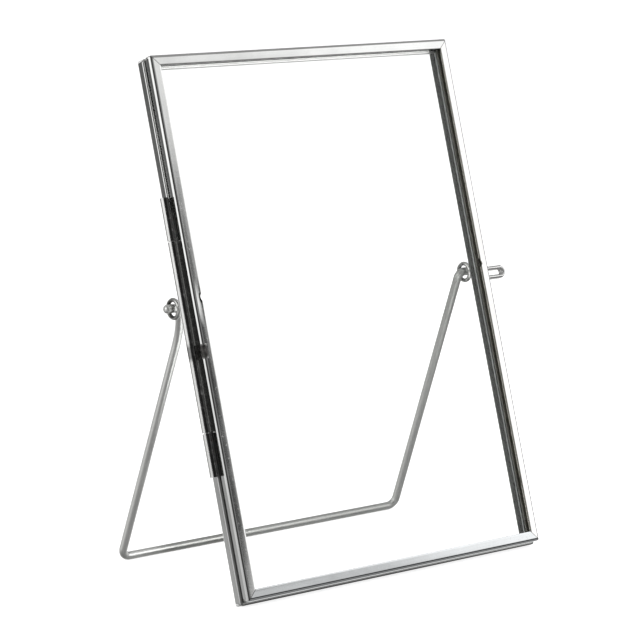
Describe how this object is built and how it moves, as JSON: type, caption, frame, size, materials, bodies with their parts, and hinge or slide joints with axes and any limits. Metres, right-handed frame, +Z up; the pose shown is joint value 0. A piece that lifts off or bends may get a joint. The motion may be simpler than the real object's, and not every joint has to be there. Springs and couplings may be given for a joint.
{
  "type": "easel picture frame",
  "caption": "Free-standing metal and glass picture frame that opens like a book on a side hinge and leans back on a folding wire stand.",
  "frame": {"origin": "centre of the footprint on the table under the frame and its stand", "axes": "+Z up, the glass front faces -Y and leans back, +X towards the side with the pull loops"},
  "size_m": [0.1444, 0.078, 0.1774],
  "materials": {
    "channel_metal": "satin polished silver-coloured plate",
    "clear_glass": "clear, thin",
    "hinge_metal": "polished, slightly darkened",
    "solder": "dull grey solder",
    "wire": "satin polished silver-coloured plate"
  },
  "bodies": {
    "back_frame": {"back_top_channel": "channel_metal", "back_bottom_channel": "channel_metal", "back_left_channel": "channel_metal", "back_right_channel": "channel_metal", "back_glass": "clear_glass", "hinge_knuckle_top": "hinge_metal", "hinge_knuckle_bottom": "hinge_metal", "hinge_pin": "hinge_metal", "back_pull_loop": "wire", "eyelet_left": "wire", "eyelet_right": "wire"},
    "front_door": {"door_top_channel": "channel_metal", "door_bottom_channel": "channel_metal", "door_left_channel": "channel_metal", "door_right_channel": "channel_metal", "door_glass": "clear_glass", "door_pull_loop": "wire", "hinge_knuckle_middle": "hinge_metal", "hinge_solder": "solder"},
    "stand": {"stand_wire": "wire"}
  },
  "joints": [
    {"name": "door_hinge", "type": "hinge", "parent": "back_frame", "child": "front_door", "pos_m": [-0.07085, -0.01025, 0.08672], "axis": [0, -0.2924, -0.9563], "range_deg": [0, 170]},
    {"name": "stand_hinge", "type": "hinge", "parent": "back_frame", "child": "stand", "pos_m": [-0.00305, 0.00272, 0.09426], "axis": [1, 0, 0], "range_deg": [-39, 0]}
  ]
}
